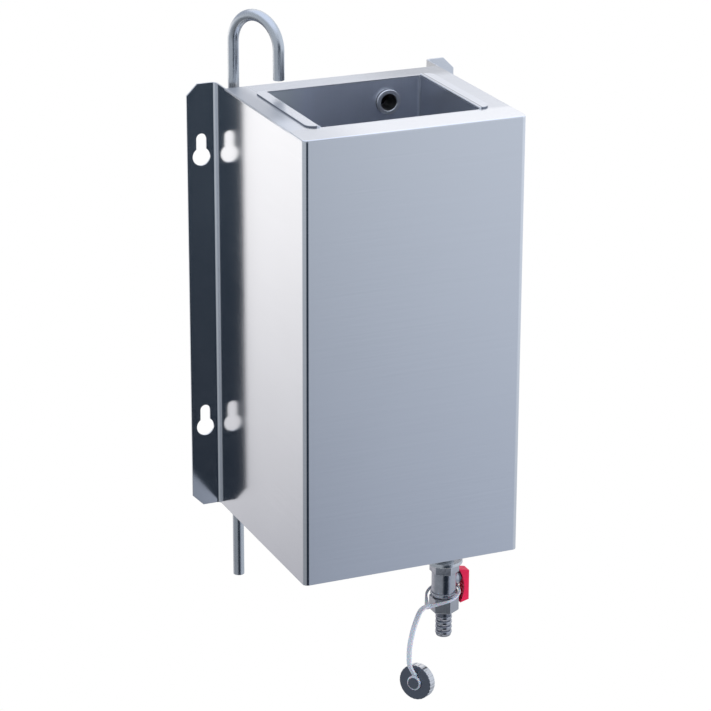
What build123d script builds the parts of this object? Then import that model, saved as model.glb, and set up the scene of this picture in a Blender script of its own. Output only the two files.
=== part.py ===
"""Wall-hung knife sterilizer: an insulated water tank with inlet pipe, overflow and drain valve.

Millimetres, +Z up. The origin is the centre of the four keyholes, on the wall plane. +Y points into
the wall, the front faces -Y and +X is the right hand side as seen from the front.
"""
import os
from math import cos, radians, sin, tan

from build123d import *

os.makedirs("parts", exist_ok=True)

# Cabinet: front, sides and wall flanges are one folded sheet
body_width = 200.0
body_depth = 200.0
body_height = 390.0
sheet = 1.5
bend_inside = 3.0
flange_width = 26.0
flange_chamfer = 10.0
rear_gap = 25.0
rim_edge_radius = 1.0

# Keyholes in the wall flanges
keyhole_entry = 16.0
keyhole_slot = 9.0
keyhole_rise = 16.0
keyhole_foot = 75.0
keyhole_head = 65.0

# Tank: the side walls end in flanges that lie on the rim
tank_side_margin = 28.0
tank_front_margin = 32.0
tank_rear_margin = 48.0
tank_sheet = 1.5
tank_corner = 3.0
tank_flange = 10.5
tank_flange_corner = 8.0
tank_flange_relief = 1.0
tank_lip_radius = 1.2
floor_insulation = 30.0
foam_fit = 0.25

# Inlet pipe: up behind the cabinet, over the rim and open above the tank
inlet_diameter = 10.0
inlet_wall = 1.0
inlet_wing_gap = 6.5
inlet_outlet_inset_x = 7.5
inlet_outlet_inset_y = 12.0
inlet_tail = 68.0
inlet_air_gap = 12.5
inlet_crown = 64.0

# Overflow: a flanged bush in the rear tank wall and a bent pipe behind the cabinet
overflow_bore = 15.0
overflow_tail_diameter = 18.0
overflow_flange_diameter = 22.0
overflow_flange_height = 2.0
overflow_flange_rounding = 0.5
overflow_x = 41.5
overflow_depth = 20.5
overflow_tail_reach = 12.0
overflow_nut_width = 24.0
overflow_nut_height = 5.0
overflow_pipe_wall = 1.5
overflow_socket = 8.0
overflow_pipe_drop = 40.0
overflow_spigot_diameter = 20.0
overflow_spigot_length = 40.0
washer_height = 1.0

# Clips that hold the pipes to the rear panel
clip_strip = 1.2
clip_height = 12.0
clip_foot = 13.0
clip_low_share = 0.16
clip_high_share = 0.86
clip_middle_share = 0.40
stud_diameter = 4.0
stud_length = 7.0
stud_nut_width = 7.0
stud_nut_height = 3.2

# Drain pipe and collar under the tank
drain_margin = 18.0
drain_pipe_diameter = 17.0
drain_pipe_bore = 12.0
drain_collar_diameter = 32.0
drain_collar_height = 3.5
drain_collar_recess = 2.0
drain_collar_land = 1.5
valve_drop = 24.5
pipe_engagement = 6.5

# Drain ball valve, hanging from the drain pipe
hex_width = 23.0
hex_height = 8.5
hex_chamfer = 0.8
barrel_diameter = 22.4
barrel_height = 19.0
ball_diameter = 13.0
water_way = 8.0
stem_drop = 16.5
seat_gap = 0.15
seat_height = 3.0
seat_wall = 2.6
seat_face_share = 0.6
chamber_fit = 0.05
end_spigot_wall = 2.2
end_flange_diameter = 24.4
end_flange_height = 3.0
neck_diameter = 19.0
neck_height = 3.3
outlet_thread_diameter = 20.6

# Stem, gland and handle, across the valve on +X
boss_diameter = 14.2
boss_reach = 12.2
stem_diameter = 5.0
stem_head_diameter = 6.4
stem_head_height = 1.4
tang_width = 2.4
tang_depth = 1.5
stem_square = 3.4
packing_diameter = 8.1
packing_depth = 3.0
packing_ring_section = 1.5
gland_width = 10.0
gland_height = 2.0
gland_spigot = 1.4
handle_inside = 15.1
handle_outside = 22.0
handle_waist = 4.2
handle_above = 10.0
handle_below = 25.0
handle_width = 10.0
handle_end_bevel = 1.2
handle_rounding = 0.8
hub_diameter = 9.0
handle_screw_diameter = 2.6
handle_screw_length = 7.0
handle_screw_head = 6.0
handle_screw_head_height = 1.8

# Union nut and ribbed hose tail
nut_width = 23.0
nut_height = 13.4
nut_gap = 2.2
nut_lip = 2.0
nut_chamfer = 0.8
tail_collar_height = 2.2
tail_diameter = 14.8
tail_root_diameter = 12.6
tail_bore = 10.0
tail_length = 26.4
tail_rib_count = 4
tail_rib_pitch = 4.8
tail_rib_land_share = 0.35
gasket_height = 1.5

# Cap and its moulded strap
strap_width = 4.6
strap_thickness = 1.6
strap_ring_outside = 31.6
strap_ring_inside = 28.0
strap_ring_fit = 0.6
strap_ring_rise = 2.3
strap_tilt = 17.7
strap_tip_reach = 35.4
strap_tip_radius = 2.8
strap_hole_reach = 31.7
strap_hole_radius = 1.2
strap_heading = 205.0
cap_heading = 214.0
cap_lean = -4.0
cap_reach = 39.5
cap_drop = 72.4
cap_diameter = 31.8
cap_height = 8.5
cap_crown = 2.0
cap_thread_diameter = 20.8
cap_flute_count = 26
cap_flute_radius = 1.1
cap_flute_depth = 0.45
cap_edge_radius = 0.8
knob_diameter = 7.8
knob_head_diameter = 10.0
knob_head_height = 1.0
strap_eye_diameter = 13.0
strap_tab_length = 8.4
band_reach_shares = [0.80, 1.03, 1.18, 1.18]
band_drop_shares = [0.05, 0.24, 0.48, 0.73]
cap_gap = 0.3
cap_gasket_height = 1.5
arc_share = 0.45

# A hexagon turned by half a side has flats to the left and right
half_side_turn = 30.0

# Fits and cuts
running_fit = 0.05
loose_fit = 0.25
cut_overrun = 1.0

# Places that the sizes above give
half_width = body_width / 2
keyhole_spacing_z = body_height - keyhole_foot - keyhole_head
base_z = -(keyhole_spacing_z / 2 + keyhole_foot)
top_z = base_z + body_height
rim_z = top_z - sheet
bend_outside = bend_inside + sheet
keyhole_x = half_width + flange_width / 2
front_inner_y = -body_depth + sheet
panel_y = -rear_gap - sheet
side_inner_x = half_width - sheet
tank_front_y = -body_depth + tank_front_margin
tank_rear_y = -tank_rear_margin
tank_width = body_width - 2 * tank_side_margin
tank_depth = tank_rear_y - tank_front_y
tank_centre_y = (tank_front_y + tank_rear_y) / 2
tank_outer_width = tank_width + 2 * tank_sheet
tank_outer_depth = tank_depth + 2 * tank_sheet
tank_outer_corner = tank_corner + tank_sheet
tank_base_z = base_z + sheet + floor_insulation
tank_floor_z = tank_base_z + tank_sheet
drain_x = tank_width / 2 - drain_margin
drain_y = tank_front_y + drain_margin
gap_centre_y = -rear_gap / 2


def save(piece, label):
    """Labels a finished piece and writes it to its own file."""
    piece.part.label = label
    export_step(piece.part, f"parts/{label}.step")


def gentle_radii(points):
    """Radius of each inner corner: a fixed share of the shorter run beside it."""
    radii = []
    for before, corner, after in zip(points, points[1:], points[2:]):
        run_in = Vector(*corner) - Vector(*before)
        run_out = Vector(*after) - Vector(*corner)
        half_turn = radians(run_in.get_angle(run_out) / 2)
        radii.append(arc_share * min(run_in.length, run_out.length) / tan(half_turn))
    return radii


# Folded cabinet sheet, with the wings that stand off the wall and their flanges
fold_points = [
    (-half_width - flange_width, 0),
    (-side_inner_x, 0),
    (-side_inner_x, front_inner_y),
    (side_inner_x, front_inner_y),
    (side_inner_x, 0),
    (half_width + flange_width, 0),
]
with BuildPart() as outer_shell:
    with BuildSketch(Plane.XY.offset(base_z)):
        with BuildLine():
            FilletPolyline(*fold_points, radius=[bend_outside, bend_inside, bend_inside, bend_outside])
            offset(amount=sheet, side=Side.RIGHT)
        make_face()
    extrude(amount=body_height)
    tip_corners = outer_shell.edges().filter_by(Axis.Y).group_by(Axis.X)
    chamfer(tip_corners[0] + tip_corners[-1], length=flange_chamfer)
    with BuildSketch(Plane.XY.offset(rim_z)):
        with Locations((0, -rear_gap)):
            Rectangle(body_width + cut_overrun, body_depth, align=(Align.CENTER, Align.MAX))
    extrude(amount=sheet + cut_overrun, mode=Mode.SUBTRACT)
    with BuildSketch(Plane.XZ):
        with GridLocations(2 * keyhole_x, keyhole_spacing_z, 2, 2):
            Circle(keyhole_entry / 2)
            with Locations((0, keyhole_rise / 2)):
                SlotCenterToCenter(keyhole_rise, keyhole_slot, rotation=90)
    extrude(amount=sheet + cut_overrun, both=True, mode=Mode.SUBTRACT)
save(outer_shell, "outer_shell")

# Rim plate on top of the cabinet, with the tank opening
with BuildPart() as top_rim:
    with BuildSketch(Plane.XY.offset(rim_z)) as rim_plan:
        with Locations((0, -rear_gap)):
            Rectangle(body_width, body_depth - rear_gap, align=(Align.CENTER, Align.MAX))
        fillet(rim_plan.vertices().group_by(Axis.Y)[0], radius=bend_outside)
        with Locations((0, tank_centre_y)):
            RectangleRounded(tank_outer_width, tank_outer_depth, tank_outer_corner, mode=Mode.SUBTRACT)
    extrude(amount=sheet)
    rim_outline = top_rim.faces().sort_by(Axis.Z)[-1].outer_wire().edges().sort_by(Axis.Y)
    fillet(rim_outline[:-1], radius=rim_edge_radius)
save(top_rim, "top_rim")

# Tank with its two flanges folded out over the rim
with BuildPart() as inner_tank:
    with BuildSketch(Plane.XY.offset(tank_base_z)):
        with Locations((0, tank_centre_y)):
            RectangleRounded(tank_outer_width, tank_outer_depth, tank_outer_corner)
    extrude(amount=top_z - tank_base_z)
    flange_length = tank_depth - 2 * tank_flange_relief
    with BuildSketch(Plane.XY.offset(top_z)) as flange_plan:
        with Locations((0, tank_centre_y)):
            Rectangle(tank_width + 2 * tank_flange, flange_length)
        fillet(flange_plan.vertices(), radius=tank_flange_corner)
    extrude(amount=tank_sheet)
    with BuildSketch(Plane.XY.offset(tank_floor_z)):
        with Locations((0, tank_centre_y)):
            RectangleRounded(tank_width, tank_depth, tank_corner)
    extrude(amount=body_height, mode=Mode.SUBTRACT)
    lip_edges = inner_tank.faces().sort_by(Axis.Z)[-2:].edges().filter_by(Axis.Y)
    inner_lips = [edge for edge in lip_edges if abs(edge.center().X) < (tank_width + tank_flange) / 2]
    fillet(inner_lips, radius=tank_lip_radius)
    with BuildSketch(Plane.XY.offset(tank_base_z)):
        with Locations((drain_x, drain_y)):
            Circle(drain_pipe_bore / 2)
    extrude(amount=tank_sheet + cut_overrun, mode=Mode.SUBTRACT)
    with BuildSketch(Plane.XZ.offset(-tank_rear_y)):
        with Locations((overflow_x, top_z - overflow_depth)):
            Circle(overflow_tail_diameter / 2 + running_fit)
    extrude(amount=-(tank_sheet + cut_overrun), mode=Mode.SUBTRACT)
save(inner_tank, "inner_tank")

inlet_x = -side_inner_x + inlet_wing_gap + inlet_diameter / 2
overflow_z = top_z - overflow_depth
overflow_pipe_inside = overflow_tail_diameter / 2 + running_fit
overflow_pipe_outside = overflow_pipe_inside + overflow_pipe_wall
clip_rows = {
    "inlet_clip_upper": (inlet_x, inlet_diameter / 2, clip_high_share),
    "inlet_clip_lower": (inlet_x, inlet_diameter / 2, clip_low_share),
    "overflow_clip": (overflow_x, overflow_pipe_outside, clip_middle_share),
}


def foot_end(pipe_x, pipe_radius):
    """Far end of a clip's foot, measured along the rear panel."""
    return pipe_x + pipe_radius + running_fit + clip_strip + clip_foot


stud_places = [
    (foot_end(pipe_x, pipe_radius) - clip_foot / 2, base_z + height_share * body_height)
    for pipe_x, pipe_radius, height_share in clip_rows.values()
]

# Rear panel between the wings, a gap away from the wall, with a welded stud for each pipe clip
with BuildPart() as rear_panel:
    with BuildSketch(Plane.XZ.offset(rear_gap)):
        with Locations((0, base_z)):
            Rectangle(2 * side_inner_x, body_height - sheet, align=(Align.CENTER, Align.MIN))
        with Locations((overflow_x, overflow_z)):
            Circle(overflow_pipe_outside + loose_fit, mode=Mode.SUBTRACT)
    extrude(amount=sheet)
    with BuildSketch(Plane.XZ.offset(rear_gap)):
        with Locations(*stud_places):
            Circle(stud_diameter / 2)
    extrude(amount=-stud_length)
save(rear_panel, "rear_panel")

# Bottom panel inside the front, the sides and the rear panel
with BuildPart() as bottom_panel:
    with BuildSketch(Plane.XY.offset(base_z)) as bottom_plan:
        with Locations((0, panel_y)):
            Rectangle(2 * side_inner_x, panel_y - front_inner_y, align=(Align.CENTER, Align.MAX))
        fillet(bottom_plan.vertices().group_by(Axis.Y)[0], radius=bend_inside)
        with Locations((drain_x, drain_y)):
            Circle(drain_pipe_diameter / 2 + loose_fit, mode=Mode.SUBTRACT)
    extrude(amount=sheet)
save(bottom_panel, "bottom_panel")

# Foam slabs between tank and cabinet
foam_height = rim_z - base_z - sheet
tank_side_x = tank_outer_width / 2
tank_front_face_y = tank_front_y - tank_sheet
tank_rear_face_y = tank_rear_y + tank_sheet
foam_rows = {
    "insulation_left": (-side_inner_x, -tank_side_x, front_inner_y, panel_y),
    "insulation_right": (tank_side_x, side_inner_x, front_inner_y, panel_y),
    "insulation_front": (-tank_side_x, tank_side_x, front_inner_y, tank_front_face_y),
    "insulation_rear": (-tank_side_x, tank_side_x, tank_rear_face_y, panel_y),
}
for foam_name, (left, right, front, rear) in foam_rows.items():
    with BuildPart() as foam:
        with BuildSketch(Plane.XY.offset(base_z + sheet + foam_fit)) as foam_plan:
            with Locations(((left + right) / 2, (front + rear) / 2)):
                Rectangle(right - left - 2 * foam_fit, rear - front - 2 * foam_fit)
            fillet(foam_plan.vertices().group_by(Axis.Y)[0], radius=bend_inside)
        extrude(amount=foam_height - 2 * foam_fit)
        if foam_name == "insulation_rear":
            with BuildSketch(Plane.XZ.offset(-tank_rear_y)):
                with Locations((overflow_x, overflow_z)):
                    RegularPolygon(overflow_nut_width / 2 + foam_fit, 6, major_radius=False)
            extrude(amount=-body_depth, mode=Mode.SUBTRACT)
    save(foam, foam_name)

with BuildPart() as insulation_bottom:
    with BuildSketch(Plane.XY.offset(base_z + sheet + foam_fit)):
        with Locations((0, tank_centre_y)):
            Rectangle(tank_outer_width - 2 * foam_fit, tank_outer_depth - 2 * foam_fit)
        with Locations((drain_x, drain_y)):
            Circle(drain_pipe_diameter / 2 + foam_fit, mode=Mode.SUBTRACT)
    extrude(amount=floor_insulation - 2 * foam_fit)
save(insulation_bottom, "insulation_bottom")

# Inlet pipe: up the left wing, over the rim in a half circle and down to just above the tank
outlet_x = -tank_width / 2 + inlet_outlet_inset_x
outlet_y = tank_rear_y - inlet_outlet_inset_y
inlet_span = Vector(outlet_x - inlet_x, outlet_y - gap_centre_y)
crown_radius = inlet_span.length / 2
crown_spring = body_height + inlet_crown - crown_radius
pipe_plane = Plane(
    origin=(inlet_x, gap_centre_y, base_z),
    x_dir=inlet_span,
    z_dir=inlet_span.cross(Vector(0, 0, 1)),
)
crown_start = (0, crown_spring)
crown_top = (crown_radius, crown_spring + crown_radius)
crown_end = (2 * crown_radius, crown_spring)
with BuildPart() as inlet_pipe:
    with BuildLine(pipe_plane):
        Line((0, -inlet_tail), crown_start)
        ThreePointArc(crown_start, crown_top, crown_end)
        Line(crown_end, (2 * crown_radius, body_height + inlet_air_gap))
    with BuildSketch(Plane.XY.offset(base_z - inlet_tail)):
        with Locations((inlet_x, gap_centre_y)):
            Circle(inlet_diameter / 2)
            Circle(inlet_diameter / 2 - inlet_wall, mode=Mode.SUBTRACT)
    sweep()
save(inlet_pipe, "inlet_pipe")

# Overflow bush, screwed through the tank wall from inside
overflow_bush_plane = Plane(origin=(overflow_x, tank_rear_y, overflow_z), x_dir=(1, 0, 0), z_dir=(0, 1, 0))
overflow_tail_end = tank_sheet + overflow_nut_height + overflow_tail_reach
with BuildPart() as overflow_bush:
    with BuildSketch(overflow_bush_plane.offset(-washer_height - overflow_flange_height)):
        Circle(overflow_flange_diameter / 2)
    extrude(amount=overflow_flange_height)
    with BuildSketch(overflow_bush_plane.offset(-washer_height)):
        Circle(overflow_tail_diameter / 2)
    extrude(amount=washer_height + overflow_tail_end)
    with BuildSketch(overflow_bush_plane.offset(-washer_height - overflow_flange_height)):
        Circle(overflow_bore / 2)
    extrude(amount=body_depth, mode=Mode.SUBTRACT)
    flange_rims = overflow_bush.edges().filter_by(GeomType.CIRCLE).sort_by(Axis.Y)[:2]
    fillet(flange_rims, radius=overflow_flange_rounding)
save(overflow_bush, "overflow_bush")

with BuildPart() as overflow_gasket:
    with BuildSketch(overflow_bush_plane.offset(-washer_height)):
        Circle(overflow_flange_diameter / 2)
        Circle(overflow_tail_diameter / 2 + running_fit, mode=Mode.SUBTRACT)
    extrude(amount=washer_height)
save(overflow_gasket, "overflow_gasket")

with BuildPart() as overflow_locknut:
    with BuildSketch(overflow_bush_plane.offset(tank_sheet)):
        RegularPolygon(overflow_nut_width / 2, 6, major_radius=False)
        Circle(overflow_tail_diameter / 2 + running_fit, mode=Mode.SUBTRACT)
    extrude(amount=overflow_nut_height)
save(overflow_locknut, "overflow_locknut")

# Overflow pipe: slips over the bush's tail, bends down behind the cabinet and ends in a hose spigot
overflow_start_y = tank_rear_y + overflow_tail_end - overflow_socket
overflow_bend_radius = rear_gap / 2
with BuildPart() as overflow_pipe:
    with BuildLine(Plane(origin=(overflow_x, 0, 0), x_dir=(0, 1, 0), z_dir=(1, 0, 0))):
        Line((overflow_start_y, overflow_z), (-rear_gap, overflow_z))
        RadiusArc(
            (-rear_gap, overflow_z),
            (gap_centre_y, overflow_z - overflow_bend_radius),
            overflow_bend_radius,
        )
        Line((gap_centre_y, overflow_z - overflow_bend_radius), (gap_centre_y, base_z - overflow_pipe_drop))
    with BuildSketch(Plane.XZ.offset(-overflow_start_y)):
        with Locations((overflow_x, overflow_z)):
            Circle(overflow_pipe_outside)
            Circle(overflow_pipe_inside, mode=Mode.SUBTRACT)
    sweep()
    with BuildSketch(Plane.XY.offset(base_z - overflow_pipe_drop)):
        with Locations((overflow_x, gap_centre_y)):
            Circle(overflow_pipe_outside + cut_overrun)
            Circle(overflow_spigot_diameter / 2, mode=Mode.SUBTRACT)
    extrude(amount=overflow_spigot_length, mode=Mode.SUBTRACT)
save(overflow_pipe, "overflow_pipe")


# Clips: a band round the pipe and one leg down to a foot on the rear panel
for clip_name, (pipe_x, pipe_radius, height_share) in clip_rows.items():
    band_inside = pipe_radius + running_fit
    band_outside = band_inside + clip_strip
    with BuildPart() as clip:
        with BuildSketch(Plane.XY.offset(base_z + height_share * body_height - clip_height / 2)):
            with Locations((pipe_x, gap_centre_y)):
                Circle(band_outside)
            with Locations((pipe_x + band_outside, gap_centre_y)):
                Rectangle(clip_strip, rear_gap / 2, align=(Align.MAX, Align.MAX))
            with Locations((foot_end(pipe_x, pipe_radius), -rear_gap)):
                Rectangle(clip_foot + clip_strip, clip_strip, align=(Align.MAX, Align.MIN))
            with Locations((pipe_x, gap_centre_y)):
                Circle(band_inside, mode=Mode.SUBTRACT)
        extrude(amount=clip_height)
        with BuildSketch(Plane.XZ.offset(rear_gap)):
            with Locations(*stud_places):
                Circle(stud_diameter / 2 + running_fit)
        extrude(amount=-(clip_strip + cut_overrun), mode=Mode.SUBTRACT)
    save(clip, clip_name)

# Nuts on the studs, one for each clip
with BuildPart() as clip_nuts:
    with BuildSketch(Plane.XZ.offset(rear_gap - clip_strip)):
        with Locations(*stud_places):
            RegularPolygon(stud_nut_width / 2, 6, major_radius=False)
            Circle(stud_diameter / 2 + running_fit, mode=Mode.SUBTRACT)
    extrude(amount=-stud_nut_height)
save(clip_nuts, "clip_nuts")

# Drain pipe, welded under the tank floor
pipe_end_z = base_z - valve_drop - pipe_engagement
with BuildPart() as drain_pipe:
    with BuildSketch(Plane.XY.offset(pipe_end_z)):
        with Locations((drain_x, drain_y)):
            Circle(drain_pipe_diameter / 2)
            Circle(drain_pipe_bore / 2, mode=Mode.SUBTRACT)
    extrude(amount=tank_base_z - pipe_end_z)
save(drain_pipe, "drain_pipe")

# The valve hangs on the drain's own axis: its planes are set down from the cabinet's bottom edge
drain_plane = Plane(origin=(drain_x, drain_y, base_z))
valve_plane = drain_plane.offset(-valve_drop)
barrel_plane = valve_plane.offset(-hex_height)
outlet_plane = barrel_plane.offset(-barrel_height)
ball_plane = valve_plane.offset(-stem_drop)

# The union nut stops below the end piece's flange, the hose tail is held in the nut
neck_plane = outlet_plane.offset(-end_flange_height)
strap_plane = neck_plane.offset(-nut_gap / 2)
nut_plane = neck_plane.offset(-nut_gap)
lip_plane = nut_plane.offset(nut_lip - nut_height)
gasket_plane = lip_plane.offset(tail_collar_height)
seal_plane = gasket_plane.offset(gasket_height)
outlet_reach = outlet_plane.origin.Z - seal_plane.origin.Z

# Collar between the cabinet and the valve, open at the top
with BuildPart() as drain_collar:
    with BuildSketch(valve_plane):
        Circle(drain_collar_diameter / 2)
        Circle(drain_pipe_diameter / 2 + running_fit, mode=Mode.SUBTRACT)
    extrude(amount=drain_collar_height)
    with BuildSketch(valve_plane.offset(drain_collar_height)):
        Circle(drain_collar_diameter / 2 - drain_collar_land)
    extrude(amount=-drain_collar_recess, mode=Mode.SUBTRACT)
    fillet(drain_collar.faces().sort_by(Axis.Z)[0].outer_wire().edges(), radius=drain_collar_land / 2)
save(drain_collar, "drain_collar")

# Valve body: hexagon, barrel and the boss for the stem
chamber_radius = ball_diameter / 2 + chamber_fit
seat_reach = ball_diameter / 2 * seat_face_share
seat_back = seat_reach + seat_height
spigot_radius = chamber_radius + end_spigot_wall
spigot_plane = ball_plane.offset(-seat_back)
boss_plane = Plane(origin=ball_plane.origin, x_dir=(0, 1, 0), z_dir=(1, 0, 0))
head_start = ball_diameter / 2 + running_fit
packing_start = boss_reach - packing_depth
with BuildPart() as valve_body:
    with BuildSketch(valve_plane):
        RegularPolygon(hex_width / 2, 6, major_radius=False, rotation=half_side_turn)
    extrude(amount=-hex_height)
    chamfer(valve_body.faces().sort_by(Axis.Z)[-1].edges(), length=hex_chamfer)
    with BuildSketch(barrel_plane):
        Circle(barrel_diameter / 2)
    extrude(amount=-barrel_height)
    with BuildSketch(boss_plane):
        Circle(boss_diameter / 2)
    extrude(amount=boss_reach)
    with BuildSketch(valve_plane):
        Circle(drain_pipe_diameter / 2 + running_fit)
    extrude(amount=-pipe_engagement, mode=Mode.SUBTRACT)
    with BuildSketch(valve_plane):
        Circle(water_way / 2)
    extrude(amount=-stem_drop, mode=Mode.SUBTRACT)
    with BuildSketch(ball_plane.offset(seat_back)):
        Circle(chamber_radius)
    extrude(amount=-2 * seat_back, mode=Mode.SUBTRACT)
    with BuildSketch(spigot_plane):
        Circle(spigot_radius + running_fit)
    extrude(amount=-barrel_height, mode=Mode.SUBTRACT)
    with BuildSketch(boss_plane):
        Circle(stem_diameter / 2 + running_fit)
    extrude(amount=boss_reach + cut_overrun, mode=Mode.SUBTRACT)
    with BuildSketch(boss_plane):
        Circle(stem_head_diameter / 2 + running_fit)
    extrude(amount=head_start + stem_head_height + running_fit, mode=Mode.SUBTRACT)
    with BuildSketch(boss_plane.offset(packing_start)):
        Circle(packing_diameter / 2)
    extrude(amount=packing_depth + cut_overrun, mode=Mode.SUBTRACT)
save(valve_body, "valve_body")

# End piece: spigot into the barrel, flange, neck for the strap and the outlet thread
with BuildPart() as valve_end_piece:
    with BuildSketch(outlet_plane):
        Circle(spigot_radius)
    extrude(amount=spigot_plane.origin.Z - outlet_plane.origin.Z)
    with BuildSketch(outlet_plane):
        Circle(end_flange_diameter / 2)
    extrude(amount=-end_flange_height)
    with BuildSketch(outlet_plane):
        Circle(neck_diameter / 2)
    extrude(amount=-(end_flange_height + neck_height))
    with BuildSketch(seal_plane):
        Circle(outlet_thread_diameter / 2)
    extrude(amount=outlet_reach - end_flange_height - neck_height)
    with BuildSketch(spigot_plane):
        Circle(water_way / 2)
    extrude(amount=-barrel_height - outlet_reach, mode=Mode.SUBTRACT)
save(valve_end_piece, "valve_end_piece")

# Ball seats: a ring above and one below, hollowed to the ball
for seat_name, side in {"upper_ball_seat": 1, "lower_ball_seat": -1}.items():
    with BuildPart() as ball_seat:
        with BuildSketch(ball_plane.offset(side * seat_reach)):
            Circle(chamber_radius - running_fit)
            Circle(chamber_radius - seat_wall, mode=Mode.SUBTRACT)
        extrude(amount=side * seat_height)
        with Locations(ball_plane.origin):
            Sphere(ball_diameter / 2 + seat_gap, mode=Mode.SUBTRACT)
    save(ball_seat, seat_name)

# Ball with its water way and the slot for the stem's tang
tang_start = ball_diameter / 2 - tang_depth
with BuildPart() as valve_ball:
    with Locations(ball_plane.origin):
        Sphere(ball_diameter / 2)
    with BuildSketch(ball_plane):
        Circle(water_way / 2)
    extrude(amount=ball_diameter, both=True, mode=Mode.SUBTRACT)
    with BuildSketch(boss_plane.offset(tang_start)):
        Rectangle(tang_width + 2 * running_fit, ball_diameter)
    extrude(amount=ball_diameter, mode=Mode.SUBTRACT)
save(valve_ball, "valve_ball")

# Stem: tang, head, shaft and the square that the handle turns
square_start = handle_inside
square_end = handle_outside
with BuildPart() as valve_stem:
    with BuildSketch(boss_plane.offset(tang_start + running_fit)):
        Rectangle(tang_width, stem_diameter)
    extrude(amount=head_start - tang_start)
    with BuildSketch(boss_plane.offset(head_start)):
        Circle(stem_head_diameter / 2)
    extrude(amount=stem_head_height)
    with BuildSketch(boss_plane.offset(head_start)):
        Circle(stem_diameter / 2)
    extrude(amount=square_start - head_start)
    with BuildSketch(boss_plane.offset(square_start)):
        Rectangle(stem_square, stem_square)
    extrude(amount=square_end - square_start)
    with BuildSketch(boss_plane.offset(square_end)):
        Circle(handle_screw_diameter / 2 + running_fit)
    extrude(amount=-handle_screw_length - running_fit, mode=Mode.SUBTRACT)
save(valve_stem, "valve_stem")

# Packing ring round the stem, and the gland nut that keeps it in
packing_centre = packing_start + packing_ring_section / 2 + running_fit
with BuildPart() as stem_packing:
    with BuildSketch(boss_plane.offset(packing_centre - packing_ring_section / 2)):
        Circle(packing_diameter / 2 - running_fit)
        Circle(stem_diameter / 2 + running_fit, mode=Mode.SUBTRACT)
    extrude(amount=packing_ring_section)
save(stem_packing, "stem_packing")

with BuildPart() as gland_nut:
    with BuildSketch(boss_plane.offset(boss_reach)):
        RegularPolygon(gland_width / 2, 6, major_radius=False)
    extrude(amount=gland_height)
    with BuildSketch(boss_plane.offset(boss_reach)):
        Circle(packing_diameter / 2 - running_fit)
    extrude(amount=-gland_spigot)
    with BuildSketch(boss_plane.offset(boss_reach - gland_spigot)):
        Circle(stem_diameter / 2 + running_fit)
    extrude(amount=body_width, mode=Mode.SUBTRACT)
save(gland_nut, "gland_nut")

# Handle: a lever hollow towards the valve, with a hub on the square
handle_plane = Plane(origin=ball_plane.origin, x_dir=(1, 0, 0), z_dir=(0, -1, 0))
handle_middle = (handle_above - handle_below) / 2
waist_inside = handle_outside - handle_waist
with BuildPart() as valve_handle:
    with BuildSketch(handle_plane):
        with BuildLine():
            Polyline(
                (handle_inside, -handle_below),
                (handle_outside, handle_end_bevel - handle_below),
                (handle_outside, handle_above - handle_end_bevel),
                (handle_inside, handle_above),
            )
            ThreePointArc(
                (handle_inside, handle_above),
                (waist_inside, handle_middle),
                (handle_inside, -handle_below),
            )
        make_face()
    extrude(amount=handle_width / 2, both=True)
    fillet(valve_handle.edges().filter_by(GeomType.LINE).group_by(Axis.X)[-1], radius=handle_rounding)
    with BuildSketch(boss_plane.offset(handle_inside + loose_fit)):
        Circle(hub_diameter / 2)
    extrude(amount=waist_inside - handle_inside)
    with BuildSketch(boss_plane.offset(handle_inside)):
        Rectangle(stem_square + 2 * running_fit, stem_square + 2 * running_fit)
    extrude(amount=body_width, mode=Mode.SUBTRACT)
save(valve_handle, "valve_handle")

with BuildPart() as handle_screw:
    with BuildSketch(boss_plane.offset(handle_outside)):
        Circle(handle_screw_head / 2)
    extrude(amount=handle_screw_head_height)
    fillet(handle_screw.faces().sort_by(Axis.X)[-1].edges(), radius=handle_screw_head_height / 2)
    with BuildSketch(boss_plane.offset(handle_outside)):
        Circle(handle_screw_diameter / 2)
    extrude(amount=-handle_screw_length)
save(handle_screw, "handle_screw")

# Union nut over the outlet thread
tail_collar_radius = outlet_thread_diameter / 2 - loose_fit
with BuildPart() as union_nut:
    with BuildSketch(nut_plane):
        RegularPolygon(nut_width / 2, 6, major_radius=False, rotation=half_side_turn)
    extrude(amount=-nut_height)
    chamfer(union_nut.faces().sort_by(Axis.Z)[0].edges(), length=nut_chamfer)
    with BuildSketch(nut_plane):
        Circle(outlet_thread_diameter / 2 + running_fit)
    extrude(amount=nut_lip - nut_height, mode=Mode.SUBTRACT)
    with BuildSketch(nut_plane):
        Circle(tail_diameter / 2 + loose_fit)
    extrude(amount=-nut_height, mode=Mode.SUBTRACT)
save(union_nut, "union_nut")

# Gasket and ribbed hose tail, held by the nut's lip
with BuildPart() as tail_gasket:
    with BuildSketch(gasket_plane):
        Circle(tail_collar_radius)
        Circle(tail_bore / 2, mode=Mode.SUBTRACT)
    extrude(amount=gasket_height)
save(tail_gasket, "tail_gasket")

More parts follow.
